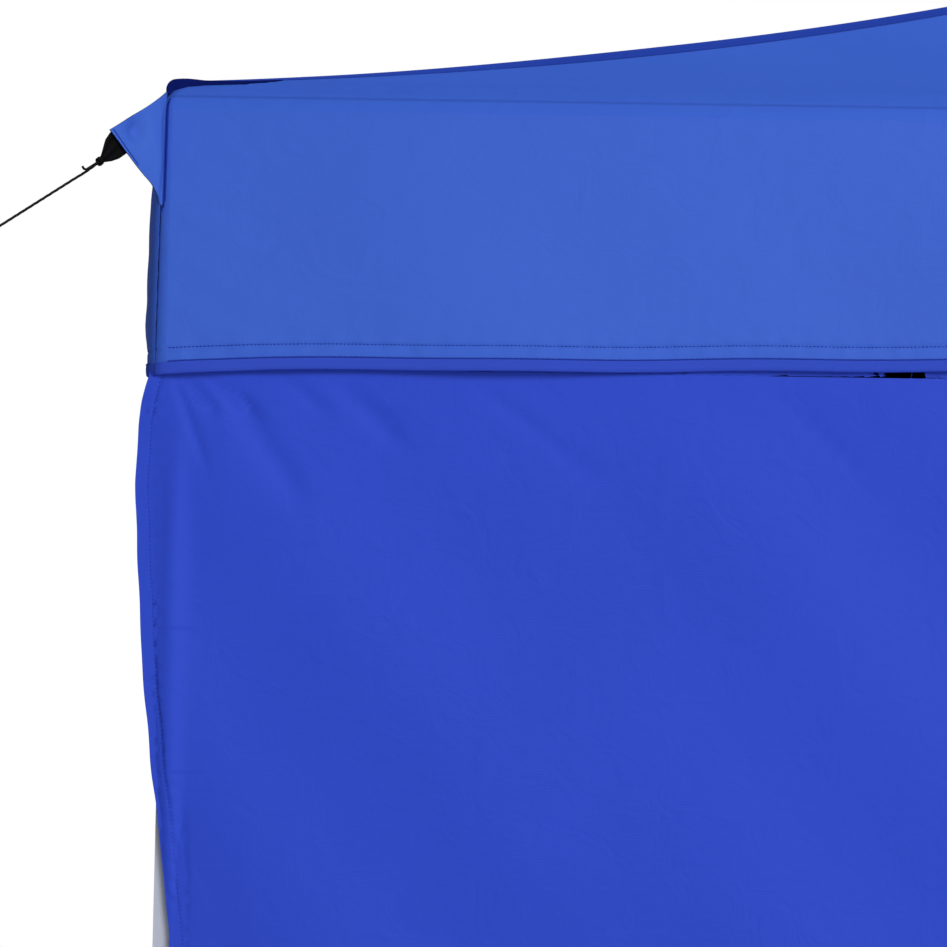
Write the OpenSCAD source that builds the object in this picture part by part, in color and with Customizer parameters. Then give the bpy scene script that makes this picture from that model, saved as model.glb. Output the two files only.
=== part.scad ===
// Pop-up canopy, 3 x 3 m: a folding scissor frame on four telescopic legs, with a fabric roof,
// a valance all round and one hung sidewall. Millimetres, +Z up, origin on the ground at the centre.
// The frame is drawn open. Each truss folds by its bars turning steeper, all by the same angle.

/* [Overall] */
// Distance from the centre to each leg's axis, along X and Y
leg_reach = 1487; // [1200:1:1490]
// Height of the upper row of pivots
top_z = 2000; // [1900:10:2050]
// Angle of every bar above the horizontal, frame open
open_angle = 17; // [14:1:20]

/* [Bars] */
// Height of the rectangular bar tube
bar_h = 25; // [22:1:28]
// Thickness of the rectangular bar tube
bar_t = 12; // [10:0.5:12]
// Wall of the bar tube
bar_wall = 0.8; // [0.8:0.1:1.5]
// Space between the two bars of a crossed pair
bar_gap = 1.5; // [1:0.5:2]
// Radius of the pivot bolts
bolt_r = 3; // [3:0.5:4]

/* [Joints and hubs] */
// Distance from a leg's axis to its bar pivots
leg_pivot = 40; // [38:1:44]
// Distance from a mid-side joint's centre to its bar pivots
mid_pivot = 35; // [34:1:38]
// Distance from the hub's centre to its bar pivots
hub_pivot = 40; // [38:1:44]
// Half the height of a joint's moulded core
core_half_h = 15; // [13:1:18]
// Thickness of each ear that holds a bar
ear_t = 4; // [3:0.5:4]

/* [Legs] */
// Outside width of the outer leg tube
leg_w = 30; // [28:1:32]
// Wall of the outer leg tube
leg_wall = 1; // [1:0.1:1.5]
// Outside width of the inner leg tube
inner_w = 25; // [24:0.5:25]
// Wall of the inner leg tube
inner_wall = 1.2; // [1:0.1:1.5]
// Height of the outer leg's lower end above the ground
outer_leg_z = 450; // [440:5:455]
// Height of the inner leg's upper end above the ground
inner_top_z = 1050; // [900:10:1080]
// Distance between height holes in the inner leg
hole_pitch = 70; // [60:1:70]
// Side of the square foot plate
foot_w = 70; // [60:1:80]
// Thickness of the foot plate
foot_t = 4; // [3:0.5:5]
// Radius of the peg hole in each foot plate
peg_hole_r = 6.5; // [5:0.5:8]

/* [Peak] */
// Outside radius of the peak mast tube
mast_r = 12.5; // [11:0.5:14]
// Radius of the cap that the roof rests on
cap_r = 45; // [30:1:60]

/* [Fabric] */
// Distance from the centre to the outside of the valance
roof_half = 1514; // [1512:1:1520]
// Height of the eave
eave_z = 2045; // [2040:1:2060]
// Depth of the valance below the eave
valance_h = 300; // [200:10:350]
// Thickness of the roof and sidewall sheets
cloth_t = 2; // [1.5:0.5:2]
// Height of the sidewall's lower edge above the ground
wall_z = 20; // [10:1:60]

/* [Hidden] */
$fn = 32;

powder_grey = [0.70, 0.74, 0.79];
nylon_black = [0.10, 0.10, 0.11];
zinc_grey = [0.66, 0.67, 0.68];
roof_blue = [0.23, 0.37, 0.75];
wall_blue = [0.18, 0.28, 0.71];
rope_black = [0.05, 0.05, 0.06];

// Every bar has the same length between its end pivots
bar_len = (leg_reach - leg_pivot - mid_pivot) / cos(open_angle);
low_z = top_z - bar_len * sin(open_angle);
layer = (bar_t + bar_gap) / 2;
run_gap = 0.05;
ear_gap = 0.4;
ear_r = 13;
core_w = 36;
bolt_head_r = 6;
bolt_head_t = 4;

sleeve_half_h = 30;
sleeve_wall = 3.5;
slider_gap = 0.3;
collar_h = 55;
collar_wall = 3.5;

button_r = 5;
button_out = 6.5;
button_in = 9;
button_z = low_z - sleeve_half_h - 0.5 - button_r;
pin_r = 4;
pin_hole_r = 4.3;
pin_nose = 3.5;
knob_r = 9;
knob_t = 9;
pin_z = outer_leg_z + collar_h / 2;
boss_r = 8;
boss_reach = 27;
height_holes = 7;
guide_h = 30;
guide_w = 27.6;
peg_place = 40;

mast_wall = 1.2;
hub_w = 46;
hub_floor_z = top_z - 25;
peak_rise = 550;
eave_slope = 0.25;
mast_top_z = eave_z + peak_rise - 35;

// ---- placing ----

// A side of the canopy: 0 front (-Y), 1 right (+X), 2 back (+Y), 3 left (-X)
module on_side(side) {
    rotate([0, 0, 90 * side]) children();
}

// A leg's axis, with its bars running along local +X and +Y: 0 is front left
module at_leg(corner) {
    rotate([0, 0, 90 * corner]) translate([-leg_reach, -leg_reach, 0]) children();
}

// The same axis, with local -X always the leg's outward face on the left or right of the canopy
module at_lock_face(corner) {
    at_leg(corner) rotate([0, 0, 90 * (corner % 2)]) children();
}

// ---- bars ----

// A bar from the origin along +X: a closed-end tube drilled for three bolts along Y
module bar() {
    plug = 30;
    bay = (bar_len - 3 * plug) / 2;
    difference() {
        rotate([90, 0, 0]) linear_extrude(bar_t, center = true) {
            circle(d = bar_h);
            translate([bar_len, 0]) circle(d = bar_h);
            translate([0, -bar_h / 2]) square([bar_len, bar_h]);
        }
        for (start = [plug, bar_len / 2 + plug / 2])
            translate([start, -bar_t / 2 + bar_wall, -bar_h / 2 + bar_wall])
                cube([bay, bar_t - 2 * bar_wall, bar_h - 2 * bar_wall]);
        for (x = [0, bar_len / 2, bar_len])
            translate([x, 0, 0]) rotate([90, 0, 0])
                cylinder(r = bolt_r + run_gap, h = bar_t + 2, center = true);
    }
}

// A pivot bolt along Y, with its head at +Y and its nut at -Y, reach each way from the origin
module bolt(low, high) {
    rotate([-90, 0, 0]) {
        translate([0, 0, low]) cylinder(r = bolt_r, h = high - low);
        translate([0, 0, high]) cylinder(r = bolt_head_r, h = bolt_head_t);
        translate([0, 0, low - bolt_head_t]) cylinder(r = bolt_head_r, h = bolt_head_t, $fn = 6);
    }
}

// The bolt at the crossing, carried by the rising bar; away is the falling bar's direction along Y
module crossing_bolt(away) {
    near = bar_t / 2;
    far = 2 * layer + bar_t / 2 + ear_gap;
    translate([bar_len / 2, 0, 0]) {
        if (away > 0) bolt(-near, far);
        else bolt(-far, near);
    }
}

// One half of a side's crossed pair; half is 1 towards local +X and -1 towards local -X
module side_rising_bar(side, half) {
    color(powder_grey) on_side(side) mirror([half < 0 ? 1 : 0, 0, 0])
        translate([mid_pivot, -leg_reach - layer, low_z]) rotate([0, -open_angle, 0]) {
            bar();
            crossing_bolt(1);
        }
}

module side_falling_bar(side, half) {
    color(powder_grey) on_side(side) mirror([half < 0 ? 1 : 0, 0, 0])
        translate([mid_pivot, -leg_reach + layer, top_z]) rotate([0, open_angle, 0]) bar();
}

// The crossed pair from a mid-side joint to the hubs
module hub_rising_bar(side) {
    color(powder_grey) on_side(side)
        translate([-layer, -leg_reach + mid_pivot, low_z]) rotate([0, 0, 90])
            rotate([0, -open_angle, 0]) {
                bar();
                crossing_bolt(-1);
            }
}

module hub_falling_bar(side) {
    color(powder_grey) on_side(side)
        translate([layer, -leg_reach + mid_pivot, top_z]) rotate([0, 0, 90])
            rotate([0, open_angle, 0]) bar();
}

// ---- moulded joints ----

// Two ears round a bar's end, along +X from the core to the pivot, the bar's centre at offset in Y
module ears(pivot, offset, core) {
    reach = bar_t / 2 + ear_gap;
    for (y = [offset + reach, offset - reach - ear_t])
        translate([0, y + ear_t, 0]) rotate([90, 0, 0]) linear_extrude(ear_t) difference() {
            union() {
                translate([pivot, 0]) circle(r = ear_r);
                translate([core, -ear_r]) square([pivot - core, 2 * ear_r]);
            }
            translate([pivot, 0]) circle(r = bolt_r);
        }
}

module ear_bolt(pivot, offset) {
    reach = bar_t / 2 + ear_gap + ear_t;
    translate([pivot, offset, 0]) bolt(-reach, reach);
}

// The rib that joins an ear standing outside the core to it
module ear_root(pivot, offset, core) {
    reach = bar_t / 2 + ear_gap + ear_t;
    root = pivot - bar_h / 2 - 2;
    translate([core - 4, offset - reach, -ear_r]) cube([root - core + 4, 2 * reach, 2 * ear_r]);
}

module mid_joint(side, z, side_offset, hub_offset) {
    half = core_w / 2;
    color(nylon_black) on_side(side) translate([0, -leg_reach, z]) {
        union() {
            translate([-half, -half, -core_half_h]) cube([core_w, core_w, 2 * core_half_h]);
            for (m = [0, 1]) mirror([m, 0, 0]) {
                ears(mid_pivot, side_offset, half - 1);
                ear_root(mid_pivot, side_offset, half);
            }
            rotate([0, 0, 90]) ears(mid_pivot, hub_offset, half - 1);
            rotate([0, 0, 90]) ear_root(mid_pivot, hub_offset, half);
        }
        for (m = [0, 1]) mirror([m, 0, 0]) ear_bolt(mid_pivot, side_offset);
        rotate([0, 0, 90]) ear_bolt(mid_pivot, hub_offset);
    }
}

// The upper joint holds the falling bars, the lower joint the rising ones
module upper_joint(side) {
    mid_joint(side, top_z, layer, -layer);
}

module lower_joint(side) {
    mid_joint(side, low_z, -layer, layer);
}

module hub_core(offset) {
    half = hub_w / 2;
    translate([-half, -half, -core_half_h - 10]) cube([hub_w, hub_w, 2 * core_half_h + 10]);
    for (side = [0 : 3]) rotate([0, 0, 90 * side]) {
        ears(hub_pivot, offset, half - 1);
        ear_root(hub_pivot, offset, half);
    }
}

// The upper hub, with a blind socket for the mast
module peak_hub() {
    color(nylon_black) translate([0, 0, top_z]) {
        difference() {
            hub_core(-layer);
            translate([0, 0, hub_floor_z - top_z + 10]) cylinder(r = mast_r + run_gap, h = 100);
        }
        for (side = [0 : 3]) rotate([0, 0, 90 * side]) ear_bolt(hub_pivot, -layer);
    }
}

module lower_hub() {
    color(nylon_black) translate([0, 0, low_z]) {
        hub_core(layer);
        for (side = [0 : 3]) rotate([0, 0, 90 * side]) ear_bolt(hub_pivot, layer);
    }
}

module peak_mast() {
    color(powder_grey) difference() {
        translate([0, 0, hub_floor_z + 10]) cylinder(r = mast_r, h = mast_top_z - hub_floor_z - 10);
        translate([0, 0, hub_floor_z]) cylinder(r = mast_r - mast_wall, h = mast_top_z - hub_floor_z + 10);
    }
}

// A domed cap that plugs into the mast and spreads the load on the cloth
module mast_cap() {
    dome_h = 12;
    dome_r = (cap_r * cap_r + dome_h * dome_h) / (2 * dome_h);
    color(nylon_black) translate([0, 0, mast_top_z]) {
        translate([0, 0, -40]) cylinder(r = mast_r - mast_wall - run_gap, h = 40);
        cylinder(r = cap_r, h = 5);
        translate([0, 0, 5]) intersection() {
            translate([0, 0, dome_h - dome_r]) sphere(r = dome_r, $fn = 96);
            cylinder(r = cap_r, h = dome_h);
        }
    }
}

// ---- legs ----

// A square tube standing on z = 0
module square_tube(width, wall, height) {
    difference() {
        translate([-width / 2, -width / 2, 0]) cube([width, width, height]);
        translate([-width / 2 + wall, -width / 2 + wall, -1])
            cube([width - 2 * wall, width - 2 * wall, height + 2]);
    }
}

// A hole along local X through the outward wall only
module outward_hole(radius, z) {
    translate([-60, 0, z]) rotate([0, 90, 0]) cylinder(r = radius, h = 60);
}

module leg_tube(corner) {
    tube_top = top_z + sleeve_half_h - 5;
    at_lock_face(corner) difference() {
        translate([0, 0, outer_leg_z]) square_tube(leg_w, leg_wall, tube_top - outer_leg_z);
        outward_hole(button_r + run_gap, button_z);
        outward_hole(pin_r + run_gap, pin_z);
    }
}

// The moulded cap on the leg's upper end, with ears for the two rising bars
module top_bracket(corner) {
    outer = leg_w + 2 * sleeve_wall;
    at_leg(corner) translate([0, 0, top_z]) {
        difference() {
            union() {
                translate([-outer / 2, -outer / 2, -sleeve_half_h]) cube([outer, outer, 2 * sleeve_half_h]);
                ears(leg_pivot, -layer, outer / 2 - 1);
                ear_root(leg_pivot, -layer, outer / 2);
                mirror([1, -1, 0]) ears(leg_pivot, -layer, outer / 2 - 1);
                mirror([1, -1, 0]) ear_root(leg_pivot, -layer, outer / 2);
            }
            translate([-leg_w / 2, -leg_w / 2, -sleeve_half_h - 1]) cube([leg_w, leg_w, 2 * sleeve_half_h - 4]);
        }
        ear_bolt(leg_pivot, -layer);
        mirror([1, -1, 0]) ear_bolt(leg_pivot, -layer);
    }
}

// The moulded collar on the leg's lower end, with the boss that guides the height pin
module leg_collar(corner) {
    outer = leg_w + 2 * collar_wall;
    at_lock_face(corner) difference() {
        union() {
            translate([-outer / 2, -outer / 2, outer_leg_z]) cube([outer, outer, collar_h]);
            translate([-boss_reach, 0, pin_z]) rotate([0, 90, 0]) cylinder(r = boss_r, h = 20);
        }
        translate([-leg_w / 2, -leg_w / 2, outer_leg_z - 1]) cube([leg_w, leg_w, collar_h + 2]);
        outward_hole(pin_r + run_gap, pin_z);
    }
}

module outer_leg(corner) {
    color(powder_grey) leg_tube(corner);
    color(nylon_black) top_bracket(corner);
    color(nylon_black) leg_collar(corner);
}

// The moulded sleeve that runs on the leg and carries the two falling bars
module slider(corner) {
    outer = leg_w + 2 * sleeve_wall;
    hole = leg_w + 2 * slider_gap;
    color(nylon_black) at_leg(corner) translate([0, 0, low_z]) {
        difference() {
            union() {
                translate([-outer / 2, -outer / 2, -sleeve_half_h]) cube([outer, outer, 2 * sleeve_half_h]);
                ears(leg_pivot, layer, outer / 2 - 1);
                ear_root(leg_pivot, layer, outer / 2);
                mirror([1, -1, 0]) ears(leg_pivot, layer, outer / 2 - 1);
                mirror([1, -1, 0]) ear_root(leg_pivot, layer, outer / 2);
            }
            translate([-hole / 2, -hole / 2, -sleeve_half_h - 1]) cube([hole, hole, 2 * sleeve_half_h + 2]);
        }
        ear_bolt(leg_pivot, layer);
        mirror([1, -1, 0]) ear_bolt(leg_pivot, layer);
    }
}

// Drilled inner tube, its moulded guide, and the foot plate, which stands inwards of the sidewall
module inner_leg(corner) {
    edge = -leg_w / 2 + 0.5;
    color(powder_grey) at_lock_face(corner) difference() {
        translate([0, 0, foot_t]) square_tube(inner_w, inner_wall, inner_top_z - foot_t);
        for (i = [0 : height_holes - 1]) outward_hole(pin_hole_r, pin_z - i * hole_pitch);
    }
    color(nylon_black) at_leg(corner) difference() {
        translate([-guide_w / 2, -guide_w / 2, inner_top_z - guide_h + 4]) cube([guide_w, guide_w, guide_h]);
        translate([-inner_w / 2, -inner_w / 2, inner_top_z - guide_h]) cube([inner_w, inner_w, guide_h]);
    }
    color(powder_grey) at_leg(corner) difference() {
        translate([edge, edge, 0]) cube([foot_w, foot_w, foot_t]);
        translate([peg_place, peg_place, -1]) cylinder(r = peg_hole_r, h = foot_t + 2);
    }
}

// The round button that the slider rests on; pressed in, it lets the slider pass
module slider_button(corner) {
    color(zinc_grey) at_lock_face(corner) translate([-leg_w / 2, 0, button_z]) rotate([0, 90, 0]) {
        translate([0, 0, 1.5 - button_out]) cylinder(r = button_r, h = button_in + button_out - 1.5);
        translate([0, 0, -button_out]) cylinder(r1 = button_r - 1.5, r2 = button_r, h = 1.5);
    }
}

// The spring pin that sets the leg's height, with its pull knob
module leg_pin(corner) {
    nose = -inner_w / 2 + pin_nose;
    color(zinc_grey) at_lock_face(corner) translate([0, 0, pin_z]) rotate([0, 90, 0]) {
        translate([0, 0, -boss_reach - 1]) cylinder(r = pin_r, h = nose + boss_reach + 1);
        translate([0, 0, -boss_reach - 1 - knob_t]) cylinder(r = knob_r, h = knob_t);
    }
}

// ---- fabric ----

// Height of the roof at a horizontal distance in from the eave: the slope grows towards the peak
function roof_rise(inset) = let (extra = (peak_rise - eave_slope * roof_half) / (roof_half * roof_half))
    eave_slope * inset + extra * inset * inset;
function square_ring(r, z) = [[-r, -r, z], [r, -r, z], [r, r, z], [-r, r, z]];

// A closed thin shell: four sloping faces down to the eave and four valance walls, open below
module roof_canopy() {
    steps = 6;
    insets = [for (i = [0 : steps - 1]) i * roof_half / steps];
    outside = concat(
        [square_ring(roof_half, eave_z - valance_h)],
        [for (u = insets) square_ring(roof_half - u, eave_z + roof_rise(u))]
    );
    inside = concat(
        [square_ring(roof_half - cloth_t, eave_z - valance_h)],
        [for (u = insets) square_ring(roof_half - cloth_t - u * (1 - cloth_t / roof_half),
            eave_z + roof_rise(u) - cloth_t)]
    );
    rings = len(outside);
    peaks = [[0, 0, eave_z + peak_rise], [0, 0, eave_z + peak_rise - cloth_t]];
    points = concat([for (r = concat(outside, inside)) each r], peaks);
    top = 8 * rings;
    faces = concat(
        [for (i = [0 : rings - 2], s = [0 : 3]) let (t = (s + 1) % 4)
            [4 * i + s, 4 * i + 4 + s, 4 * i + 4 + t, 4 * i + t]],
        [for (i = [rings : 2 * rings - 2], s = [0 : 3]) let (t = (s + 1) % 4)
            [4 * i + s, 4 * i + t, 4 * i + 4 + t, 4 * i + 4 + s]],
        [for (s = [0 : 3]) let (t = (s + 1) % 4) [s, t, 4 * rings + t, 4 * rings + s]],
        [for (s = [0 : 3]) let (t = (s + 1) % 4, last = 4 * rings - 4) [last + s, top, last + t]],
        [for (s = [0 : 3]) let (t = (s + 1) % 4, last = top - 4) [last + s, last + t, top + 1]]
    );
    color(roof_blue) polyhedron(points, faces, convexity = 6);
}

module sidewall() {
    half = roof_half - 5;
    front = -(roof_half - cloth_t - 1.5);
    color(wall_blue) translate([-half, front - cloth_t / 2, wall_z])
        cube([2 * half, cloth_t, eave_z - 12 - wall_z]);
}

// Upright plate along the corner's diagonal: points are (distance outwards, height)
module diagonal_plate(points, thickness, offset) {
    translate([-roof_half, -roof_half, 0]) rotate([0, 0, -135]) translate([0, offset, 0])
        rotate([90, 0, 0]) linear_extrude(thickness, center = true) polygon(points);
}

// Triangular tab sewn into each corner seam, and the webbing loop that hangs from it
module corner_flaps() {
    gap = 0.5;
    for (corner = [0 : 3]) rotate([0, 0, 90 * corner]) {
        color(roof_blue) diagonal_plate([
            [gap, eave_z - 3], [68, eave_z - 60], [10, eave_z - 115], [gap, eave_z - 135]
        ], 3, 0);
        color(rope_black) diagonal_plate([
            [46, eave_z - 62], [62, eave_z - 60], [86, eave_z - 90], [74, eave_z - 102], [50, eave_z - 90]
        ], 2, 3);
    }
}

// ---- guy rope ----

rope_r = 1.5;
// The rope's route, from the webbing's knot outwards and down
rope_route = [
    [-1580, -1580, 1940], [-1588, -1588, 1932], [-1598, -1598, 1923], [-1608, -1608, 1914],
    [-1618, -1618, 1905], [-1628, -1628, 1896], [-1638, -1638, 1887], [-1648, -1648, 1878],
    [-1658, -1658, 1869], [-1668, -1668, 1860], [-1678, -1678, 1851], [-1688, -1688, 1842],
    [-1698, -1698, 1833], [-1708, -1708, 1824], [-1718, -1718, 1815], [-1728, -1728, 1806]
];
function unit(v) = v / norm(v);
function heading(p, i) = unit(p[min(i + 1, len(p) - 1)] - p[max(i - 1, 0)]);
function rope_ring(p, i, r) = let (
    d = heading(p, i),
    across = unit(cross(d, [0, 0, 1])),
    up = cross(across, d)
) [for (k = [0 : 7]) p[i] + r * (cos(45 * k) * across + sin(45 * k) * up)];

module rope_tube(p, r) {
    n = len(p);
    points = [for (i = [0 : n - 1]) each rope_ring(p, i, r)];
    faces = concat(
        [for (i = [0 : n - 2], k = [0 : 7]) let (m = (k + 1) % 8)
            [8 * i + k, 8 * i + m, 8 * i + 8 + m, 8 * i + 8 + k]],
        [[for (k = [7 : -1 : 0]) k]],
        [[for (k = [0 : 7]) 8 * n - 8 + k]]
    );
    polyhedron(points, faces, convexity = 2);
}

module guy_rope() {
    color(rope_black) rope_tube(rope_route, rope_r);
}

// ---- nodes ----

peak_hub();
peak_mast();
mast_cap();
lower_hub();
roof_canopy();
sidewall();
corner_flaps();
guy_rope();

upper_joint(0);  // front_upper_joint
upper_joint(1);  // right_upper_joint
upper_joint(2);  // back_upper_joint
upper_joint(3);  // left_upper_joint
lower_joint(0);  // front_lower_joint
lower_joint(1);  // right_lower_joint
lower_joint(2);  // back_lower_joint
lower_joint(3);  // left_lower_joint

hub_rising_bar(0);  // front_hub_rising_bar
hub_rising_bar(1);  // right_hub_rising_bar
hub_rising_bar(2);  // back_hub_rising_bar
hub_rising_bar(3);  // left_hub_rising_bar
hub_falling_bar(0);  // front_hub_falling_bar
hub_falling_bar(1);  // right_hub_falling_bar
hub_falling_bar(2);  // back_hub_falling_bar
hub_falling_bar(3);  // left_hub_falling_bar

side_rising_bar(0, -1);  // front_rising_bar_left
side_rising_bar(1, -1);  // right_rising_bar_front
side_rising_bar(2, -1);  // back_rising_bar_right
side_rising_bar(3, -1);  // left_rising_bar_back
side_rising_bar(0, 1);  // front_rising_bar_right
side_rising_bar(1, 1);  // right_rising_bar_back
side_rising_bar(2, 1);  // back_rising_bar_left
side_rising_bar(3, 1);  // left_rising_bar_front
side_falling_bar(0, -1);  // front_falling_bar_left
side_falling_bar(1, -1);  // right_falling_bar_front
side_falling_bar(2, -1);  // back_falling_bar_right
side_falling_bar(3, -1);  // left_falling_bar_back
side_falling_bar(0, 1);  // front_falling_bar_right
side_falling_bar(1, 1);  // right_falling_bar_back
side_falling_bar(2, 1);  // back_falling_bar_left
side_falling_bar(3, 1);  // left_falling_bar_front

outer_leg(0);  // front_left_leg
outer_leg(1);  // front_right_leg
outer_leg(2);  // back_right_leg
outer_leg(3);  // back_left_leg
slider(0);  // front_left_slider
slider(1);  // front_right_slider
slider(2);  // back_right_slider
slider(3);  // back_left_slider
inner_leg(0);  // front_left_inner_leg
inner_leg(1);  // front_right_inner_leg
inner_leg(2);  // back_right_inner_leg
inner_leg(3);  // back_left_inner_leg
slider_button(0);  // front_left_slider_button
slider_button(1);  // front_right_slider_button
slider_button(2);  // back_right_slider_button
slider_button(3);  // back_left_slider_button
leg_pin(0);  // front_left_leg_pin
leg_pin(1);  // front_right_leg_pin
leg_pin(2);  // back_right_leg_pin
leg_pin(3);  // back_left_leg_pin
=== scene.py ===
import math
import bpy
import numpy as np
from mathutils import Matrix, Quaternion, Vector


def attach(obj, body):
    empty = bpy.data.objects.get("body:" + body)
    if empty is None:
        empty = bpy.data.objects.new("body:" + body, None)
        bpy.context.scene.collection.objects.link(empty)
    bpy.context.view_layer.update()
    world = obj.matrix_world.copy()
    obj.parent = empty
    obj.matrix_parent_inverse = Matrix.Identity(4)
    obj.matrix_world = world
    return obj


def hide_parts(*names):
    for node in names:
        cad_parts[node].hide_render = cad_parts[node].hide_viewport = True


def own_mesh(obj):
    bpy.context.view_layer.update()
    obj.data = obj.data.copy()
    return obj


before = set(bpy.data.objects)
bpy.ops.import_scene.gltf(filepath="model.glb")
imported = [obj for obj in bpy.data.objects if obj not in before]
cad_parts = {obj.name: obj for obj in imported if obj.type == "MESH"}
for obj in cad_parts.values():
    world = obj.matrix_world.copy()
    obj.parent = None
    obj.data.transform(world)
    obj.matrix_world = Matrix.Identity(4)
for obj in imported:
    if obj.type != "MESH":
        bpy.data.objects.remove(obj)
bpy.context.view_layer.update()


# ---- Camera and studio ----
# The canopy stands on a plain pale floor in a white studio. A long lens stands low in front of
# the front left corner and looks slightly up at the eave. The lights are wide and soft.

def linear(code):
    """Linear red, green, blue and alpha from an sRGB hex code: each channel's display curve is undone."""
    channels = np.array([int(code[i:i + 2], 16) for i in (1, 3, 5)]) / 255
    low, high = channels / 12.92, ((channels + 0.055) / 1.055) ** 2.4
    return (*np.where(channels <= 0.04045, low, high).tolist(), 1.0)


def add_node(material, kind, inputs=None, **settings):
    """One new node of a material or world, its inputs given as numbers, colours or other outputs."""
    node = material.node_tree.nodes.new(kind)
    for name, value in settings.items():
        setattr(node, name, value)
    for socket, value in (inputs or {}).items():
        if isinstance(value, bpy.types.NodeSocket):
            material.node_tree.links.new(value, node.inputs[socket])
        else:
            node.inputs[socket].default_value = value
    return node


def new_material(name):
    """An empty node material and the output that its shader goes to."""
    material = bpy.data.materials.new(name)
    material.use_nodes = True
    material.node_tree.nodes.clear()
    return material, material.node_tree.nodes.new("ShaderNodeOutputMaterial")


camera = bpy.data.objects.new("camera", bpy.data.cameras.new("camera"))
bpy.context.scene.collection.objects.link(camera)
bpy.context.scene.camera = camera
camera.data.lens = 161
camera.data.sensor_width = 36
camera.data.clip_end = 100
camera_pitch, camera_roll = math.radians(6.7), math.radians(0.9)
camera.location = (-1.170, -6.014, 1.10)
gaze = Vector((0, math.cos(camera_pitch), math.sin(camera_pitch)))
camera.rotation_mode = "QUATERNION"
camera.rotation_quaternion = gaze.to_track_quat("-Z", "Y") @ Quaternion((0, 0, 1), camera_roll)

bpy.context.scene.view_settings.view_transform = "Standard"

studio = bpy.data.worlds.new("white_studio")
studio.use_nodes = True
studio.node_tree.nodes.clear()
bpy.context.scene.world = studio
seen_white = add_node(studio, "ShaderNodeBackground", {"Color": (1, 1, 1, 1), "Strength": 1.0})
cast_light = add_node(studio, "ShaderNodeBackground", {"Color": (0.95, 0.97, 1, 1), "Strength": 0.17})
seen_or_cast = add_node(studio, "ShaderNodeLightPath").outputs["Is Camera Ray"]
studio_mix = add_node(studio, "ShaderNodeMixShader", {
    "Fac": seen_or_cast, 1: cast_light.outputs[0], 2: seen_white.outputs[0],
})
add_node(studio, "ShaderNodeOutputWorld", {"Surface": studio_mix.outputs[0]})

for name, place, aim, width, power in [
    ("key_light", (3.5, -9.0, 5.5), (-0.6, -1.4, 1.5), 4.0, 600),
    ("fill_light", (1.0, -10.0, 2.0), (-0.6, -1.4, 1.5), 4.0, 110),
    ("top_light", (0.8, 3.5, 8.5), (0, -0.6, 2.0), 4.0, 430),
]:
    lamp = bpy.data.objects.new(name, bpy.data.lights.new(name, "AREA"))
    bpy.context.scene.collection.objects.link(lamp)
    lamp.data.size = width
    lamp.data.energy = power
    lamp.location = place
    lamp.rotation_mode = "QUATERNION"
    lamp.rotation_quaternion = (Vector(aim) - Vector(place)).to_track_quat("-Z", "Y")


def mesh_piece(name, points, faces, material):
    """A mesh object at the origin from an array of points and an array of faces of one size."""
    mesh = bpy.data.meshes.new(name)
    sides = faces.shape[1]
    mesh.vertices.add(len(points))
    mesh.vertices.foreach_set("co", points.astype(np.float32).ravel())
    mesh.loops.add(faces.size)
    mesh.loops.foreach_set("vertex_index", faces.astype(np.int32).ravel())
    mesh.polygons.add(len(faces))
    mesh.polygons.foreach_set("loop_start", np.arange(0, faces.size, sides, dtype=np.int32))
    mesh.polygons.foreach_set("loop_total", np.full(len(faces), sides, dtype=np.int32))
    mesh.polygons.foreach_set("use_smooth", np.ones(len(faces), bool))
    mesh.update(calc_edges=True)
    mesh.validate()
    mesh.materials.append(material)
    piece = bpy.data.objects.new(name, mesh)
    bpy.context.scene.collection.objects.link(piece)
    return piece


floor_paint, floor_out = new_material("matt_pale_floor")
floor_grain = add_node(floor_paint, "ShaderNodeTexNoise", {"Scale": 6.0, "Detail": 3.0})
floor_tone = add_node(floor_paint, "ShaderNodeMix", {
    "Factor": floor_grain.outputs["Fac"], 6: linear("#e6e6e5"), 7: linear("#ececeb"),
}, data_type="RGBA")
floor_shader = add_node(floor_paint, "ShaderNodeBsdfPrincipled", {
    "Base Color": floor_tone.outputs[2], "Roughness": 0.7,
})
floor_paint.node_tree.links.new(floor_shader.outputs[0], floor_out.inputs["Surface"])
floor_half, floor_level = 14.0, -0.001
floor_corners = np.array([(-1, -1, 0), (1, -1, 0), (1, 1, 0), (-1, 1, 0)]) * floor_half
floor = mesh_piece("floor", floor_corners + (0, 0, floor_level), np.array([[0, 1, 2, 3]]), floor_paint)


# ---- Guy rope ----
# A thin three-strand polyester rope, black, tied to the webbing at the front left corner and
# pulled tight outwards and down. It ends in a knotted end that a peg's loop holds.

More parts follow.
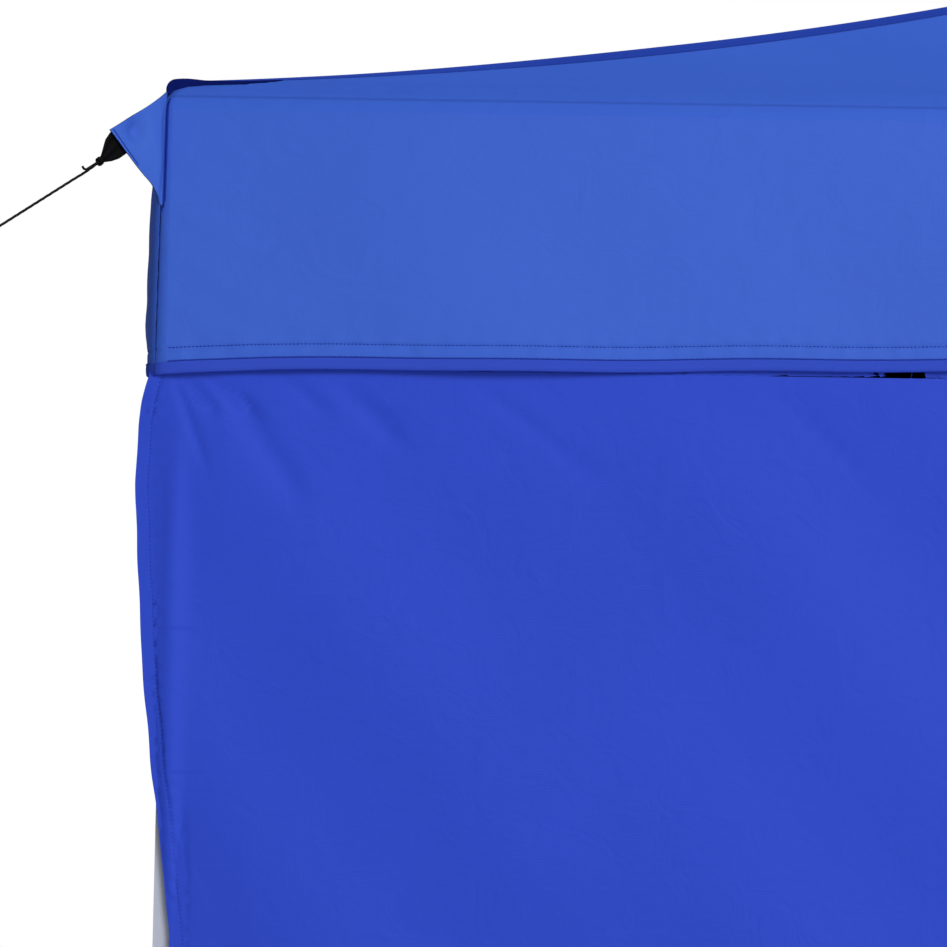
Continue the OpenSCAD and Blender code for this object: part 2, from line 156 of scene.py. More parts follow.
def carried_profile(path, radius, sides=16, strands=0, lay=0.012, relief=0.0):
    """A closed tube: a circle of the given radius at each point of the path, square to the path's
    direction. With strands, the radius swells and shrinks round the circle, and the pattern turns
    once in each lay length. The two ends are closed by shrinking the circle to a point."""
    path = np.asarray(path, float)
    radius = np.full(len(path), radius, float)
    path = np.concatenate([path[:1], path, path[-1:]])
    radius = np.concatenate([[1e-5], radius, [1e-5]])
    heading = np.gradient(path[1:-1], axis=0)
    heading = np.concatenate([heading[:1], heading, heading[-1:]])
    heading /= np.linalg.norm(heading, axis=1)[:, None]
    helper = np.where(np.abs(heading[:, 2:]) > 0.95, [[1.0, 0, 0]], [[0, 0, 1.0]])
    across = np.cross(heading, helper)
    across /= np.linalg.norm(across, axis=1)[:, None]
    upward = np.cross(across, heading)
    steps = np.concatenate([[0], np.cumsum(np.linalg.norm(np.diff(path, axis=0), axis=1))])
    turn = np.linspace(0, 2 * np.pi, sides, endpoint=False)
    swell = 1 + relief * np.cos(strands * turn[None, :] + 2 * np.pi * steps[:, None] / lay)
    ring = np.cos(turn)[None, :, None] * across[:, None] + np.sin(turn)[None, :, None] * upward[:, None]
    points = path[:, None] + (radius[:, None] * swell)[..., None] * ring
    index = np.arange(len(path) * sides).reshape(len(path), sides)
    after = np.roll(index, -1, axis=1)
    quads = np.stack([index[:-1], index[1:], after[1:], after[:-1]], -1).reshape(-1, 4)
    tip = np.full(sides, index.size)
    caps = np.concatenate([np.stack([index[0], after[0], tip], -1),
                           np.stack([after[-1], index[-1], tip + 1], -1)])
    return np.concatenate([points.reshape(-1, 3), path[[0, -1]]]), quads, caps


def tube_piece(name, path, radius, material, **shape):
    """The tube of carried_profile as a piece, its quads and its end triangles in one mesh."""
    points, quads, caps = carried_profile(path, radius, **shape)
    mesh = bpy.data.meshes.new(name)
    mesh.from_pydata(points.tolist(), [], quads.tolist() + caps.tolist())
    mesh.polygons.foreach_set("use_smooth", np.ones(len(mesh.polygons), bool))
    mesh.materials.append(material)
    piece = bpy.data.objects.new(name, mesh)
    bpy.context.scene.collection.objects.link(piece)
    return piece


def wound_turns(centre, axis, radius, spread, turns, steps):
    """A line wound round an axis: a circle of the given radius carried along the axis by the spread."""
    axis = np.asarray(axis, float) / np.linalg.norm(axis)
    side = np.cross(axis, (0, 0, 1.0))
    side /= np.linalg.norm(side)
    up = np.cross(side, axis)
    turn = np.linspace(0, 2 * np.pi * turns, steps)[:, None]
    along = np.linspace(-spread, spread, steps)[:, None]
    return centre + along * axis + radius * (np.cos(turn) * side + np.sin(turn) * up)


def fine_grained(name, texture, inputs, tones, strength, relief, finish, **settings):
    """A material with one fine texture, which mixes its two tones and gives it a relief."""
    material, out = new_material(name)
    place = add_node(material, "ShaderNodeTexCoord").outputs["Object"]
    grain = add_node(material, texture, {"Vector": place, **inputs}, **settings).outputs["Fac"]
    tone = add_node(material, "ShaderNodeMix", {
        "Factor": grain, 6: linear(tones[0]), 7: linear(tones[1]),
    }, data_type="RGBA")
    bump = add_node(material, "ShaderNodeBump", {"Strength": strength, "Distance": relief, "Height": grain})
    shader = add_node(material, "ShaderNodeBsdfPrincipled", {
        "Base Color": tone.outputs[2], "Normal": bump.outputs[0], **finish,
    })
    material.node_tree.links.new(shader.outputs[0], out.inputs["Surface"])
    return material


# Black filament polyester, twisted: nearly black, with a faint grey sheen on each strand
rope_fibre = fine_grained(
    "black_twisted_polyester_rope", "ShaderNodeTexNoise", {"Scale": 900.0, "Detail": 2.0},
    ("#020203", "#0c0c0e"), 0.5, 0.0003, {"Roughness": 0.75, "Specular IOR Level": 0.2})

rope_diameter = 0.003
rope_far = np.array([-1.728, -1.728, 1.806])
rope_route = np.array([(-1.580, -1.580, 1.9425), (-1.588, -1.588, 1.9345), (-1.598, -1.598, 1.9256)])
rope_route = np.concatenate([rope_route, np.linspace(rope_route[-1], rope_far, 14)[1:]])
rope_steps = np.linalg.norm(np.diff(rope_route, axis=0), axis=1)
rope_place_along = np.concatenate([[0], np.cumsum(rope_steps)])
fine_along = np.linspace(0, rope_place_along[-1], 240)
rope_fine = np.stack([np.interp(fine_along, rope_place_along, rope_route[:, i]) for i in range(3)], -1)
guy_rope = tube_piece("guy_rope_tied", rope_fine, rope_diameter / 2 - 0.0001, rope_fibre,
                      strands=3, lay=0.010, relief=0.07)
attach(guy_rope, "front_left_leg")
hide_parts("guy_rope")

# The knot at the rope's outer end: three turns of the rope wound close round it
knot_coil = wound_turns(rope_far, rope_route[-1] - rope_route[-2], 0.0024, 0.004, 3, 90)
rope_knot = tube_piece("guy_rope_end_knot", knot_coil, 0.0014, rope_fibre, sides=10)
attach(rope_knot, "front_left_leg")

# ---- Roof sheet ----
# Four triangular panels of coated woven polyester, sewn together along the hips and pulled over
# the mast at the peak. At the eave the sheet turns over into the valance in a soft round bend.
# Each panel is cut into narrow gores here.

roof_half = 1.514
eave_turn_z = 2.0192
eave_radius = 0.037
eave_turn = math.radians(76)
roof_run = roof_half - eave_radius * (1 - math.cos(eave_turn))
roof_foot_z = eave_turn_z + eave_radius * math.sin(eave_turn)
roof_slope = 1 / math.tan(eave_turn)
peak_z = 2.6127
roof_curve = (peak_z - roof_foot_z - roof_slope * roof_run) / roof_run ** 2
eave_share = 0.05
corner_share = 0.05
corner_turn = 0.014
cloth_thick = 0.0012


def turned(side, points):
    """Points of the front side turned by a quarter turn for each side: right, back, left."""
    angle = side * math.pi / 2
    c, s = math.cos(angle), math.sin(angle)
    x, y, z = points[..., 0], points[..., 1], points[..., 2]
    return np.stack([c * x - s * y, s * x + c * y, z], -1)


def ring(along, half, turn):
    """A place on the front side of a square of the given half size with rounded corners. From -1 to
    1 it runs straight along the side, and in the last share each way it goes round an eighth of a
    circle to the corner's diagonal. Gives x, y and the outward direction's x and y."""
    inner = np.clip(along, -1, 1)
    angle = (np.abs(along) - np.abs(inner)) / corner_share * (np.pi / 4)
    side = np.sign(along)
    x = inner * (half - turn) + side * turn * np.sin(angle)
    y = -(half - turn) - turn * np.cos(angle)
    return x, y, side * np.sin(angle), -np.cos(angle)


def fade(value, low, high):
    """0 below low and 1 above high, with a smooth S-curve between."""
    share = np.clip((value - low) / (high - low), 0, 1)
    return share * share * (3 - 2 * share)


def roof_surface(side, along, rise):
    """The roof from the top of the valance (rise 0) to the peak (rise 1). In the first share the sheet
    follows a circle arc from upright to the roof's slope. Beyond it the height grows with the distance
    inwards and its square. Each panel sags a little between hips, eave and peak, and soft folds run
    in from the corners."""
    along, rise = np.broadcast_arrays(np.asarray(along, float), np.asarray(rise, float))
    bend = np.clip(rise / eave_share, -0.2, 1) * eave_turn
    inward = np.clip((rise - eave_share) / (1 - eave_share), 0, 1) * roof_run
    half = roof_half - eave_radius * (1 - np.cos(bend)) - inward
    height = eave_turn_z + eave_radius * np.sin(bend) + roof_slope * inward + roof_curve * inward ** 2
    turn = np.minimum(corner_turn - 0.009 * fade(inward, 0, 0.12), 0.8 * half)
    x, y, _, _ = ring(along, half, turn)
    across = np.clip(np.abs(along), 0, 1)
    share = inward / roof_run
    sag = 0.010 * np.sin(np.pi * share) * (1 - across ** 2)
    edge = (1 - across) * half
    fan = np.sin(38 * np.arctan2(inward + 0.02, edge + 0.02) + side)
    folds = 0.0012 * fan * np.exp(-np.hypot(inward, edge) / 0.22)
    folds = folds * fade(edge, 0.01, 0.06) * fade(inward, 0.005, 0.05)
    ripple = 0.0022 * np.sin(x * 8.3 + 1.7 * side) * np.sin(inward * 5.1 + x * 2.2)
    ripple = ripple * fade(inward, 0.02, 0.3) * fade(1 - across, 0, 0.1) * fade(1 - share, 0, 0.2)
    return turned(side, np.stack([x, y, height - sag + folds + ripple], -1))


def with_normals(surface, side, along, rise):
    """The surface's points on a grid (rows rise, columns along), and its outward directions there: the
    cross product of its small steps along and up, which is the same for two pieces that share an edge."""
    step = 2e-4
    a, r = np.meshgrid(along, rise)
    over = surface(side, a + step, r) - surface(side, a - step, r)
    up = surface(side, a, r + step) - surface(side, a, r - step)
    out = np.cross(over, up)
    out /= np.maximum(np.linalg.norm(out, axis=-1, keepdims=True), 1e-12)
    return surface(side, a, r), out


def cloth_piece(name, points, out, thick, material, lift=0.0):
    """A sheet as a closed thin shell: the grid's points, the same points set back along their outward
    directions by the thickness, and a strip round the edges that joins the two."""
    rows, columns = points.shape[:2]
    count = rows * columns
    front = (points + lift * out).reshape(-1, 3)
    back = (points + (lift - thick) * out).reshape(-1, 3)
    index = np.arange(count).reshape(rows, columns)
    quads = np.stack([index[:-1, :-1], index[:-1, 1:], index[1:, 1:], index[1:, :-1]], -1).reshape(-1, 4)
    rim = np.concatenate([index[0], index[1:, -1], index[-1, -2::-1], index[-2:0:-1, 0]])
    after = np.roll(rim, -1)
    strip = np.stack([after, rim, rim + count, after + count], -1)
    faces = np.concatenate([quads, quads[:, ::-1] + count, strip])
    piece = mesh_piece(name, np.concatenate([front, back]), faces, material)
    normals = np.concatenate([out.reshape(-1, 3), -out.reshape(-1, 3)])
    piece.data.normals_split_custom_set_from_vertices(normals.tolist())
    return piece


wave_per_metre = 0.314159


def woven_cloth(name, main, shade, gloss=0.1, thread=0.003, relief=0.35, crease_shade_height=0.0):
    """Coated woven polyester: two hex colours that a slow noise mixes, a plain weave of threads across
    and along, and faint creases left by packing. The threads are drawn several times too coarse, so
    that they show. At the height of a sewn fold a soft darker line is painted: painted shade in the fold's
    crease."""
    cloth, out = new_material(name)
    place = add_node(cloth, "ShaderNodeTexCoord").outputs["Object"]
    wave_scale = wave_per_metre / thread
    threads = [
        add_node(cloth, "ShaderNodeTexWave", {
            "Vector": place, "Scale": wave_scale, "Distortion": 0.4, "Detail": 1.0, "Detail Scale": 0.5,
        }, wave_type="BANDS", bands_direction=axis).outputs["Fac"]
        for axis in ("X", "Y", "Z")
    ]
    warp = add_node(cloth, "ShaderNodeMath", {0: threads[0], 1: threads[1]}, operation="ADD")
    weave = add_node(cloth, "ShaderNodeMath", {0: warp.outputs[0], 1: threads[2]}, operation="ADD")
    cloud = add_node(cloth, "ShaderNodeTexNoise", {
        "Vector": place, "Scale": 3.1, "Detail": 4.0, "Roughness": 0.55,
    })
    tone = add_node(cloth, "ShaderNodeMix", {
        "Factor": cloud.outputs["Fac"], 6: linear(shade), 7: linear(main),
    }, data_type="RGBA")
    level = add_node(cloth, "ShaderNodeSeparateXYZ", {"Vector": place})
    above = add_node(cloth, "ShaderNodeMath", {0: level.outputs["Z"], 1: crease_shade_height}, operation="SUBTRACT")
    off = add_node(cloth, "ShaderNodeMath", {0: above.outputs[0]}, operation="ABSOLUTE")
    # Painted shade: within 2.4 mm of the fold's height the colour darkens towards navy, for the shade in
    # its crease
    crease_shade = add_node(cloth, "ShaderNodeMapRange", {
        "Value": off.outputs[0], "From Min": 0.0, "From Max": 0.0024, "To Min": 0.28, "To Max": 0.0,
    })
    tone = add_node(cloth, "ShaderNodeMix", {
        "Factor": crease_shade.outputs[0], 6: tone.outputs[2], 7: linear("#16257a"),
    }, data_type="RGBA")
    creases = add_node(cloth, "ShaderNodeTexNoise", {
        "Vector": place, "Scale": 21.0, "Detail": 3.0, "Roughness": 0.5, "Distortion": 1.2,
    })
    crease_bump = add_node(cloth, "ShaderNodeBump", {
        "Strength": relief, "Distance": 0.004, "Height": creases.outputs["Fac"],
    })
    weave_bump = add_node(cloth, "ShaderNodeBump", {
        "Strength": 0.22, "Distance": 0.00012, "Height": weave.outputs[0], "Normal": crease_bump.outputs[0],
    })
    roughness = add_node(cloth, "ShaderNodeMapRange", {
        "Value": cloud.outputs["Fac"], "To Min": 0.50, "To Max": 0.64,
    })
    shader = add_node(cloth, "ShaderNodeBsdfPrincipled", {
        "Base Color": tone.outputs[2], "Roughness": roughness.outputs[0], "Normal": weave_bump.outputs[0],
        "IOR": 1.5, "Specular IOR Level": gloss,
    })
    cloth.node_tree.links.new(shader.outputs[0], out.inputs["Surface"])
    return cloth


# Mid-blue polyester with a thin water-repellent coat: even colour, a soft broad sheen. The roof's
# own panels face the sky and stay matt at a low angle.
# The roof's soft darker line at 2.035 m, on the eave's bend, is painted shade in the fold
roof_cloth = woven_cloth("coated_polyester_roof_blue", "#3f65cc", "#395ec4", gloss=0.0, crease_shade_height=2.035)
valance_cloth = woven_cloth("coated_polyester_valance_blue", "#3d63cb", "#375cc3", gloss=0.1)

gores_per_side = 20
even = np.linspace(-1, 1, gores_per_side + 1)
gore_edges = 0.6 * even + 0.4 * np.sin(even * np.pi / 2)
fold_keep = 0.20205
leg_travel = 1.2065
gore_rise = np.concatenate([np.linspace(0, eave_share, 9), eave_share + (0.992 - eave_share)
                            * np.linspace(0, 1, 86)[1:] ** 1.15])
corner_columns = np.linspace(0, corner_share, 6)


def fold_inwards(piece, place):
    """Works out where a roof piece's place on the eave ends when the frame folds: towards the centre line
    of the canopy, by the legs' travel. The result is not used; the piece only gets its own copy of its
    mesh."""
    place = np.array([place[0], place[1], 0.0])
    side_x = abs(place[0]) < abs(place[1])
    scale = np.array([fold_keep, 1, 1]) if side_x else np.array([1, fold_keep, 1])
    folded = place * scale
    if side_x:
        folded[1] -= np.sign(place[1]) * leg_travel
    else:
        folded[0] -= np.sign(place[0]) * leg_travel
    if abs(abs(place[0]) - abs(place[1])) < 1e-6:
        folded = place * (1 - leg_travel / abs(place[0]))
    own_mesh(piece)


side_names = ["front", "right", "back", "left"]
corner_names = ["front_left", "front_right", "back_right", "back_left"]
for side in range(4):
    for gore in range(gores_per_side):
        columns = np.linspace(gore_edges[gore], gore_edges[gore + 1], 9)
        if gore == 0:
            columns = np.concatenate([-1 - corner_columns[:0:-1], columns])
        if gore == gores_per_side - 1:
            columns = np.concatenate([columns, 1 + corner_columns[1:]])
        points, out = with_normals(roof_surface, side, columns, gore_rise)
        name = f"{side_names[side]}_roof_gore_{gore + 1}"
        piece = cloth_piece(name, points, out, cloth_thick, roof_cloth)
        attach(piece, "root")
        if side == 0 and gore == 0:
            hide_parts("roof_canopy")
        width = float(np.linalg.norm(np.diff(points[0], axis=0), axis=1).sum())
        middle = roof_surface(side, (gore_edges[gore] + gore_edges[gore + 1]) / 2, 0.0)
        fold_inwards(piece, middle)


# ---- Hip and peak bindings ----
# Folded tape of the same cloth, a shade darker, is sewn over each hip seam from the corner to the
# peak. A small four-sided patch covers the point where the four panels meet on the mast.

def tape_cloth(name, main, shade):
    """Folded polyester tape: a tighter, darker and smoother weave than the sheet, with no gloss."""
    return woven_cloth(name, main, shade, gloss=0.0, thread=0.0022, relief=0.12)


hip_tape = tape_cloth("folded_polyester_tape_dark_blue", "#2b47a8", "#263f9c")
hip_rise = eave_share + (0.972 - eave_share) * np.linspace(0.004, 1, 99)
tape_half = 0.008


def hip_surface(side, width, rise):
    """Tape laid over the hip at the side's left end: width runs from -1 on the next side's sheet, over
    the hip at 0, to 1 on this side's sheet, and each point lies on the sheet below it, a little raised
    along the middle."""
    width, rise = np.broadcast_arrays(np.asarray(width, float), np.asarray(rise, float))
    inward = np.clip((rise - eave_share) / (1 - eave_share), 0, 1) * roof_run
    straight = np.maximum(roof_half - inward - corner_turn, 0.012)
    reach = np.abs(width) * tape_half * (0.25 + 0.75 * fade(inward, 0.0, 0.16))
    arc = 0.006
    place = np.where(reach < arc, -1 - corner_share * (1 - reach / arc), -1 + (reach - arc) / straight)
    here = roof_surface(side, place, rise)
    there = roof_surface((side + 3) % 4, -place, rise)
    points = np.where((width >= 0)[..., None], here, there)
    stand = 0.0018 + 0.0065 * fade(inward, 0.05, 0.55) * (1 - fade(inward / roof_run, 0.86, 0.96))
    return points + (stand * (1 - width ** 2))[..., None] * np.array([0, 0, 1.0])


for corner in range(4):
    points, out = with_normals(hip_surface, corner, np.linspace(-1, 1, 13), hip_rise)
    tape = cloth_piece(f"{corner_names[corner]}_hip_tape", points, out, 0.0022, hip_tape, lift=0.0012)
    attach(tape, "root")
    fold_inwards(tape, roof_surface(corner, -1.05, 0.0))


peak_patch_reach = 0.048


def peak_patch_surface(_, turn, rise):
    """A small four-sided cap over the peak. Its outline is a square with rounded corners (the eighth
    powers of the turn's cosine and sine), which shrinks to nothing, and its height follows the roof's
    own curve, a little above it."""
    turn, rise = np.broadcast_arrays(np.asarray(turn, float), np.asarray(rise, float))
    reach = peak_patch_reach * (1 - rise)
    radius = reach / (np.cos(turn) ** 8 + np.sin(turn) ** 8) ** 0.125
    inward = roof_run - reach
    height = roof_foot_z + roof_slope * inward + roof_curve * inward ** 2 + 0.0040
    height = height - 0.005 * fade(rise, 0.6, 1.0)
    return np.stack([radius * np.cos(turn), radius * np.sin(turn), height], -1)


points, out = with_normals(peak_patch_surface, 0, np.linspace(0, 2 * np.pi, 65), np.linspace(0, 0.99, 16))
peak_patch = cloth_piece("peak_patch", points, out, 0.002, hip_tape)
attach(peak_patch, "root")


# ---- Valance ----
# A straight-hanging band of the roof cloth, about 0.3 m deep, on each side. Its lower edge is turned
# up and stitched, and bound with folded tape. It hangs a little lower at the corners, where it is
# sewn to the next side's band.

hem_stitch_above = 0.0265
binding_height = 0.0115
valance_depth = 0.277


def hem_height(x):
    """Height of the valance's lower edge at a distance x from the middle of the side: nearly level, and
    lower in the last few centimetres before the corner."""
    to_corner = np.maximum(roof_half - np.abs(x), 0)
    drop = 0.008 * np.exp(-to_corner / 0.075) + 0.005 * np.exp(-to_corner / 0.30)
    lift = 0.0050 * fade(to_corner, 0.25, 0.95) - 0.0034 * np.exp(-((to_corner - 0.44) / 0.14) ** 2)
    return 1.7426 - drop + lift + 0.0007 * np.sin(11 * x + 0.6) + 0.0005 * np.sin(27 * x)


def valance_surface(side, along, rise):
    """The valance from its lower edge (rise 0) to the eave (rise 1): a square ring, a few millimetres
    wider at the hem, with slow waves that grow downwards, a groove and puckers along the stitching, and
    a bulge beside each right-hand corner where the spare cloth stands out."""
    along, rise = np.broadcast_arrays(np.asarray(along, float), np.asarray(rise, float))
    x, y, out_x, out_y = ring(along, roof_half, corner_turn)
    foot = hem_height(x)
    height = foot + rise * (eave_turn_z - foot)
    above = height - foot
    down = np.clip(1 - rise, 0, 1.2)
    to_corner = roof_half - np.abs(x)
    waves = 0.0030 * np.sin(9.2 * x + 1.3 * side) + 0.0018 * np.sin(21.0 * x + 2.1 * side + 4 * rise)
    waves = waves * down ** 1.3 * fade(to_corner, 0.01, 0.16)
    groove = -0.0011 * np.exp(-((above - hem_stitch_above) / 0.0022) ** 2)
    pucker = 0.00045 * np.sin(2 * np.pi * x / 0.031 + 1.5 * np.sin(7 * x))
    pucker = pucker * np.exp(-((above - hem_stitch_above) / 0.012) ** 2) * fade(to_corner, 0.0, 0.03)
    right_end = np.where(along > 0, 1.0, 0.0)
    distance = np.maximum(to_corner, 0)
    bulge = 0.0125 * right_end * (distance / 0.09) * np.exp(1 - distance / 0.09) * fade(down, 0.0, 0.34)
    bulge = bulge * (1 - 0.45 * fade(down, 0.80, 1.0))
    tension = 0.0010 * np.sin(60 * (distance - 0.55 * down)) * np.exp(-distance / 0.12)
    tension = tension * fade(distance, 0.0, 0.04)
    shift = 0.005 * down + waves + groove + pucker + bulge + tension * down
    return turned(side, np.stack([x + shift * out_x, y + shift * out_y, height], -1))


# Rows are close together over the hem, where the stitching shapes the cloth
valance_rows = np.concatenate([np.arange(0, 0.046, 0.0023), np.linspace(0.055, valance_depth, 24)])
valance_rise = valance_rows / valance_depth
half_columns = np.concatenate([np.linspace(0, 0.82, 130, endpoint=False), np.linspace(0.82, 1, 46),
                               1 + corner_columns[1:]])

# The valance's hem is bound with the same tape, a little lighter than on the hips
hem_tape = tape_cloth("folded_polyester_tape_hem_blue", "#3850c0", "#3149b6")
stitch_thread, thread_out = new_material("navy_sewing_thread")
thread_shader = add_node(stitch_thread, "ShaderNodeBsdfPrincipled", {
    "Base Color": linear("#2237a0"), "Roughness": 0.7, "Specular IOR Level": 0.05,
})
stitch_thread.node_tree.links.new(thread_shader.outputs[0], thread_out.inputs["Surface"])


def binding_surface(side, along, wrap):
    """Tape folded round the valance's lower edge: wrap runs from 0 at the tape's top edge outside, down
    to the fold at 0.5, and up to 1 inside. It follows the valance below it, held off by its thickness,
    and bows out a little in the middle."""
    along, wrap = np.broadcast_arrays(np.asarray(along, float), np.asarray(wrap, float))
    up = np.abs(wrap - 0.5) * 2
    on_cloth = valance_surface(side, along, up * binding_height / valance_depth)
    _, _, out_x, out_y = ring(along, roof_half, corner_turn)
    outward = turned(side, np.stack([out_x, out_y, 0 * out_x], -1))
    outside = np.where(wrap < 0.5, 1.0, -1.0)
    off = outside * np.minimum(1, up / 0.12) * 0.0013 - np.where(wrap < 0.5, 0, 0.0012)
    bow = 0.0005 * np.sin(np.pi * up) * np.sign(0.5 - wrap)
    drop = 0.0012 * (1 - np.minimum(1, up / 0.12))
    return on_cloth + (off + bow)[..., None] * outward - np.stack([0 * drop, 0 * drop, drop], -1)


def spindles(line, aside, outward, radius):
    """Short thread dashes, each a six-point spindle: pointed at its start and its end, and with four
    points round its middle at the radius. The line gives start, middle and end of each. All of them
    are one array of points and one of faces."""
    middle = line[:, 1]
    spots = np.stack([
        line[:, 0], middle + radius * aside, middle + radius * outward,
        middle - radius * aside, middle - radius * outward, line[:, 2],
    ], 1)
    pattern = np.array([(0, 2, 1), (0, 3, 2), (0, 4, 3), (0, 1, 4),
                        (5, 1, 2), (5, 2, 3), (5, 3, 4), (5, 4, 1)])
    faces = np.arange(len(line))[:, None, None] * 6 + pattern
    return spots.reshape(-1, 3), faces.reshape(-1, 3)


def stitches(side, low, high, above, pitch, length, radius):
    """A row of thread dashes lying on the valance, at one height above its lower edge."""
    count = int((high - low) * roof_half / pitch)
    middle = low + (high - low) * (np.arange(count) + 0.5) / count
    half_step = length / 2 / roof_half
    ends = np.stack([middle - half_step, middle, middle + half_step], -1)
    line = valance_surface(side, ends, np.full_like(ends, above / valance_depth))
    _, _, out_x, out_y = ring(middle, roof_half, corner_turn)
    outward = turned(side, np.stack([out_x, out_y, 0 * out_x], -1))
    return spindles(line + 0.0003 * outward[:, None], np.array([0, 0, 1.0]), outward, radius)


for side in range(4):
    for end in (-1, 1):
        corner = side if end < 0 else (side + 1) % 4
        leg = corner_names[corner] + "_leg"
        name = f"{side_names[side]}_valance_{'left' if end < 0 else 'right'}"
        columns = half_columns if end > 0 else -half_columns[::-1]
        points, out = with_normals(valance_surface, side, columns, valance_rise)
        band = cloth_piece(name, points, out, cloth_thick, valance_cloth)
        wrap = np.concatenate([np.linspace(0, 0.44, 7), [0.47, 0.5, 0.53], np.linspace(0.56, 1, 5)])
        tape_columns = columns[::2] if end < 0 else columns[::-2][::-1]
        tape_points, tape_out = with_normals(binding_surface, side, tape_columns, wrap)
        binding = cloth_piece(name + "_binding", tape_points[::-1], -tape_out[::-1], 0.0006, hem_tape)
        low, high = (0.0, 1.0) if end > 0 else (-1.0, 0.0)
        rows = [
            stitches(side, low, high, hem_stitch_above, 0.0042, 0.0038, 0.00068),
            stitches(side, low, high, binding_height + 0.0006, 0.0034, 0.0046, 0.00150),
        ]
        thread_points = np.concatenate([row[0] for row in rows])
        thread_faces = np.concatenate([rows[0][1], rows[1][1] + len(rows[0][0])])
        thread = mesh_piece(name + "_stitching", thread_points, thread_faces, stitch_thread)
        for piece in (band, binding, thread):
            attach(piece, leg)
            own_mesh(piece)


# ---- Corner seams, flaps and webbing ----
# At each corner the two valances are joined by an upright seam. A triangular flap of doubled roof
# cloth is sewn into it, and a black webbing loop, gathered into a knot, hangs from the flap's hem.

seam_tape = tape_cloth("folded_polyester_tape_navy", "#1f328f", "#1a2b80")
flap_cloth = woven_cloth("doubled_polyester_flap_blue", "#4167c8", "#3a5fbf", gloss=0.05, relief=0.2)

# Black woven polypropylene: nearly black and dull, with ribs 2 mm apart that run across the strap
webbing = fine_grained(
    "black_polypropylene_webbing", "ShaderNodeTexWave",
    {"Scale": wave_per_metre / 0.002, "Distortion": 1.5, "Detail": 2.0},
    ("#010101", "#050506"), 0.5, 0.0004, {"Roughness": 0.7, "Specular IOR Level": 0.1},
    wave_type="BANDS", bands_direction="Z")

seam_reach = 1.510


def on_diagonal(corner, outwards, height, aside):
    """Points beside a corner, from the distance outwards along its diagonal, the height, and the
    distance aside from the diagonal's upright plane, towards the side on the corner's right."""
    root_half = math.sqrt(0.5)
    x = -seam_reach - outwards * root_half + aside * root_half
    y = -seam_reach - outwards * root_half - aside * root_half
    return turned(corner, np.stack(np.broadcast_arrays(x, y, height), -1))


def flap_surface(corner, across, up):
    """The triangular flap: up runs from its lower point on the seam (0) to its top edge (1), and across
    from the seam (0) to the lower outer edge (1), which follows a smoothed line of places. The cloth
    swells a little in the middle, dips beside the outer corner, and is gathered next to the seam."""
    across, up = np.broadcast_arrays(np.asarray(across, float), np.asarray(up, float))
    seam_z = 1.912 + 0.127 * up
    edge_out = 0.001 + 0.077 * up
    stops = np.array([0.0, 0.0005, 0.018, 0.056, 0.078, 0.09])
    heights = np.array([1.911, 1.912, 1.936, 1.9655, 1.986, 1.9975])
    edge_z = sum(np.interp(edge_out + shift, stops, heights) for shift in (-0.002, 0, 0.002)) / 3
    outwards = 0.0005 + (edge_out - 0.0005) * across
    height = seam_z + (edge_z - seam_z) * across
    swell = 0.0070 * np.sin(np.pi * np.clip(across, 0, 1) ** 0.8) * fade(up, 0, 0.5)
    dip = -0.0110 * np.exp(-((across - 0.66) / 0.15) ** 2 - ((up - 0.84) / 0.13) ** 2)
    gather = -0.0030 * np.exp(-((outwards - 0.004) / 0.005) ** 2) * (1 - fade(up, 0.75, 0.95))
    curl = 0.0008 * np.sin(9 * up + 1) * across
    return on_diagonal(corner, outwards, height, 0.0012 + swell + dip + gather + curl)


def webbing_surface(corner, across, along):
    """The webbing fan: along runs from inside the flap's hem (0) to the knot (1), across from the outer
    edge to the inner one. Both edges curve in towards the knot, and pleats run lengthwise and deepen
    towards it."""
    across, along = np.broadcast_arrays(np.asarray(across, float), np.asarray(along, float))
    stops = np.array([-0.2, 0.0, 0.3, 0.6, 0.85, 1.0, 1.2])
    outer_r = np.interp(along, stops, np.array([69, 74, 81, 85, 87.5, 89, 91]) / 1000)
    outer_z = np.interp(along, stops, np.array([1990, 1984.5, 1975.5, 1964.5, 1956.5, 1952.5, 1948]) / 1000)
    inner_r = np.interp(along, stops, np.array([47, 52, 62, 72, 81.5, 86.5, 90.5]) / 1000)
    inner_z = np.interp(along, stops, np.array([1969, 1964, 1957, 1952.8, 1950.3, 1949, 1947]) / 1000)
    outwards = outer_r + (inner_r - outer_r) * across
    height = outer_z + (inner_z - outer_z) * across
    pleats = 0.0010 * np.sin(5 * np.pi * across) * (0.3 + 0.7 * np.clip(along, 0, 1))
    return on_diagonal(corner, outwards, height, -0.0008 + pleats)


